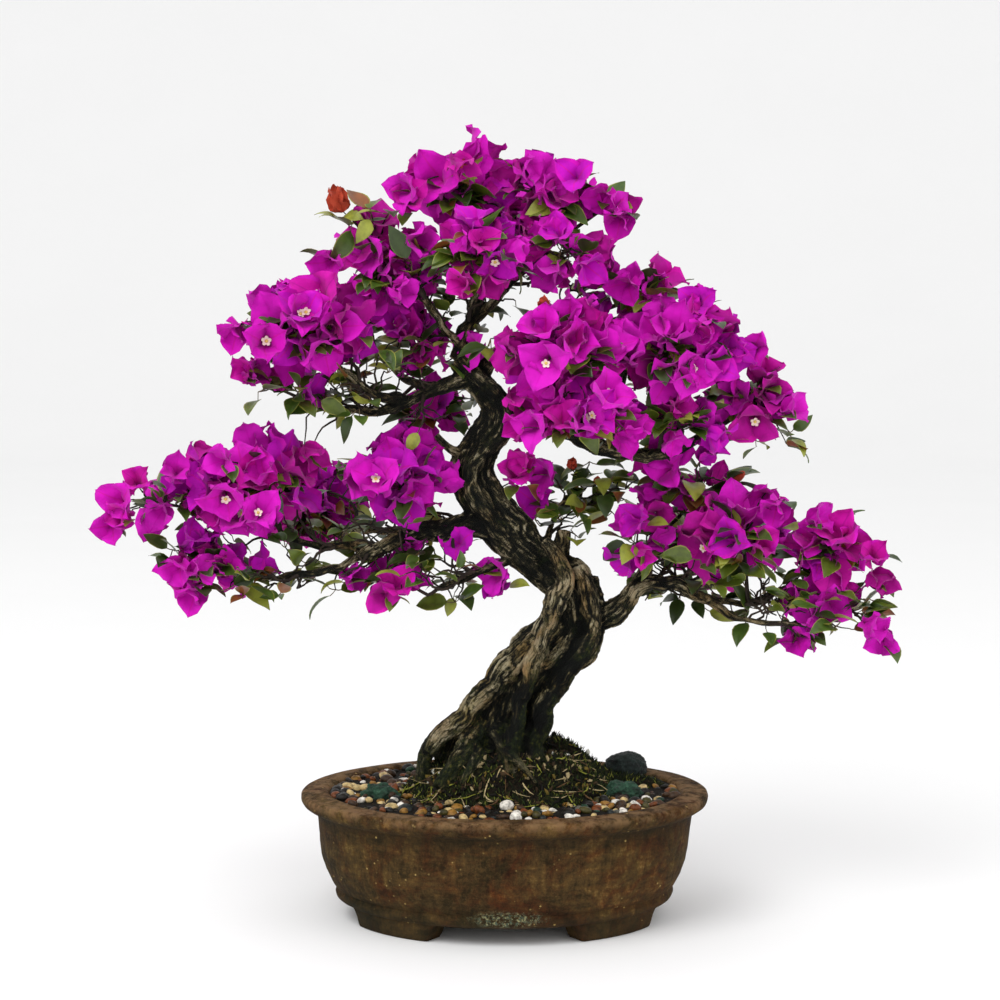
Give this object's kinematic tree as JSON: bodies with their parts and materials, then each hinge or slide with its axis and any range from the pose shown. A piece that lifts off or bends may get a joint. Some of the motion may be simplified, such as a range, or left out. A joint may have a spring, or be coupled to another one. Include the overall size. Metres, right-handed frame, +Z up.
{
  "type": "flowering bougainvillea bonsai in a pot",
  "caption": "Old bougainvillea bonsai with a leaning, winding trunk and tiers of papery magenta bracts, planted in an oval unglazed footed pot.",
  "frame": {"origin": "on the ground under the middle of the whole plant's width and depth, at the level of the pot's feet", "axes": "+Z up, +X to the right along the pot's length with the plant seen from its front, +Y to the back"},
  "size_m": [0.6204, 0.2704, 0.6187],
  "materials": {
    "pot": "unglazed stoneware, matt and weathered",
    "soil": "dark damp earth",
    "gravel": "small mixed pebbles",
    "moss": "earth grown over with dark moss",
    "rock": "dark mossy stone",
    "bark": "old furrowed bark",
    "blossom": "papery magenta bracts with green leaves"
  },
  "bodies": {
    "root": {"pot": "pot", "soil": "soil", "gravel": "gravel", "moss_mound": "moss", "boulder": "rock", "trunk": "bark", "bough_left": "bark", "bough_left_low": "bark", "bough_left_high": "bark", "bough_left_back": "bark", "bough_left_under": "bark", "bough_right": "bark", "bough_right_low": "bark", "bough_right_mid": "bark", "bough_right_up": "bark", "bough_right_back": "bark", "bough_shoulder": "bark", "bough_upper_right": "bark", "bough_upper_right_front": "bark", "bough_upper_right_back": "bark", "bough_head_right": "bark", "bough_upper_left": "bark", "bough_upper_left_front": "bark", "bough_upper_left_back": "bark", "leader": "bark", "leader_left": "bark", "leader_right": "bark", "leader_back": "bark", "mass_left_tip": "blossom", "mass_left_mid": "blossom", "mass_left_low": "blossom", "mass_left_inner": "blossom", "mass_left_under": "blossom", "mass_left_back": "blossom", "mass_upper_left": "blossom", "mass_upper_left_under": "blossom", "mass_upper_left_inner": "blossom", "mass_upper_left_low": "blossom", "mass_upper_left_back": "blossom", "mass_heart_left": "blossom", "mass_apex_left": "blossom", "mass_apex_right": "blossom", "mass_apex_tip": "blossom", "mass_apex_front": "blossom", "mass_apex_low": "blossom", "mass_apex_back": "blossom", "mass_right_head": "blossom", "mass_right_front": "blossom", "mass_right_low_front": "blossom", "mass_right_crown": "blossom", "mass_right_under": "blossom", "mass_right_end": "blossom", "mass_right_back": "blossom", "mass_shoulder": "blossom", "mass_knee": "blossom", "mass_low_right_top": "blossom", "mass_low_right_mid": "blossom", "mass_low_right_end": "blossom", "mass_low_right_tip": "blossom", "mass_low_right_back": "blossom"}
  },
  "joints": []
}
